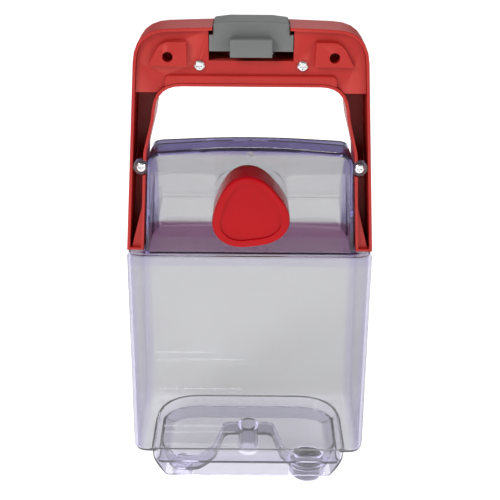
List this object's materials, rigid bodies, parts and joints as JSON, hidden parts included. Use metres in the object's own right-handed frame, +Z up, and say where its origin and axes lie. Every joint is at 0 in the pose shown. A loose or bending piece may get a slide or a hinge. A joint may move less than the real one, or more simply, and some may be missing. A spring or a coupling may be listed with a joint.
{
  "type": "carpet cleaner solution tank",
  "caption": "Clear removable solution tank of an upright carpet cleaner, with a red carrying handle, sprung release latch, three-lobed fill cap and outlet valve.",
  "frame": {"origin": "under the middle of the tank, at the level its feet stand on", "axes": "+Z up, +X to the tank's right seen from the fill-cap side, -Y towards the fill cap"},
  "size_m": [0.2058, 0.1295, 0.422],
  "materials": {
    "clear_plastic": "clear polished plastic with a faint violet tint at the edges",
    "handle_plastic": "fine moulded satin texture",
    "cap_plastic": "polished",
    "grey_plastic": "spark-eroded moulded texture",
    "white_plastic": "smooth moulded",
    "rubber": "matte",
    "dark_rubber": "smooth, slightly glossy",
    "spring_steel": "drawn wire",
    "screw_steel": "zinc plated"
  },
  "bodies": {
    "tank": {"tank_body": "clear_plastic", "tank_base": "clear_plastic", "valve_housing": "white_plastic", "valve_gasket": "rubber", "valve_retainer": "white_plastic", "vent_plug": "white_plastic", "handle_shell": "handle_plastic", "handle_cover": "handle_plastic", "cover_screw_left": "screw_steel", "cover_screw_right": "screw_steel", "tank_screw_left": "screw_steel", "tank_screw_right": "screw_steel"},
    "latch": {"latch_button": "grey_plastic", "latch_catch": "grey_plastic", "latch_spring_left": "spring_steel", "latch_spring_right": "spring_steel"},
    "plug": {"cap_plug": "grey_plastic", "cap_seal": "rubber"},
    "cap": {"fill_cap": "cap_plastic"},
    "poppet": {"valve_poppet": "white_plastic", "valve_poppet_seal": "rubber", "valve_knob": "dark_rubber", "valve_spring": "spring_steel"}
  },
  "joints": [
    {"name": "latch_press", "type": "slide", "parent": "tank", "child": "latch", "axis": [0, 0, -1], "range_m": [0, 0.006], "stiffness_N_per_m": 500, "springref_m": -0.004, "deforming": ["latch_spring_left", "latch_spring_right"]},
    {"name": "cap_pull", "type": "slide", "parent": "tank", "child": "plug", "axis": [0, -1, 0], "range_m": [0, 0.04]},
    {"name": "cap_turn", "type": "hinge", "parent": "plug", "child": "cap", "pos_m": [0, -0.045, 0.2722], "axis": [0, 1, 0], "range_deg": [0, 110]},
    {"name": "valve_lift", "type": "slide", "parent": "tank", "child": "poppet", "axis": [0, 0, 1], "range_m": [0, 0.003], "stiffness_N_per_m": 500, "springref_m": -0.003, "deforming": ["valve_spring"]}
  ]
}
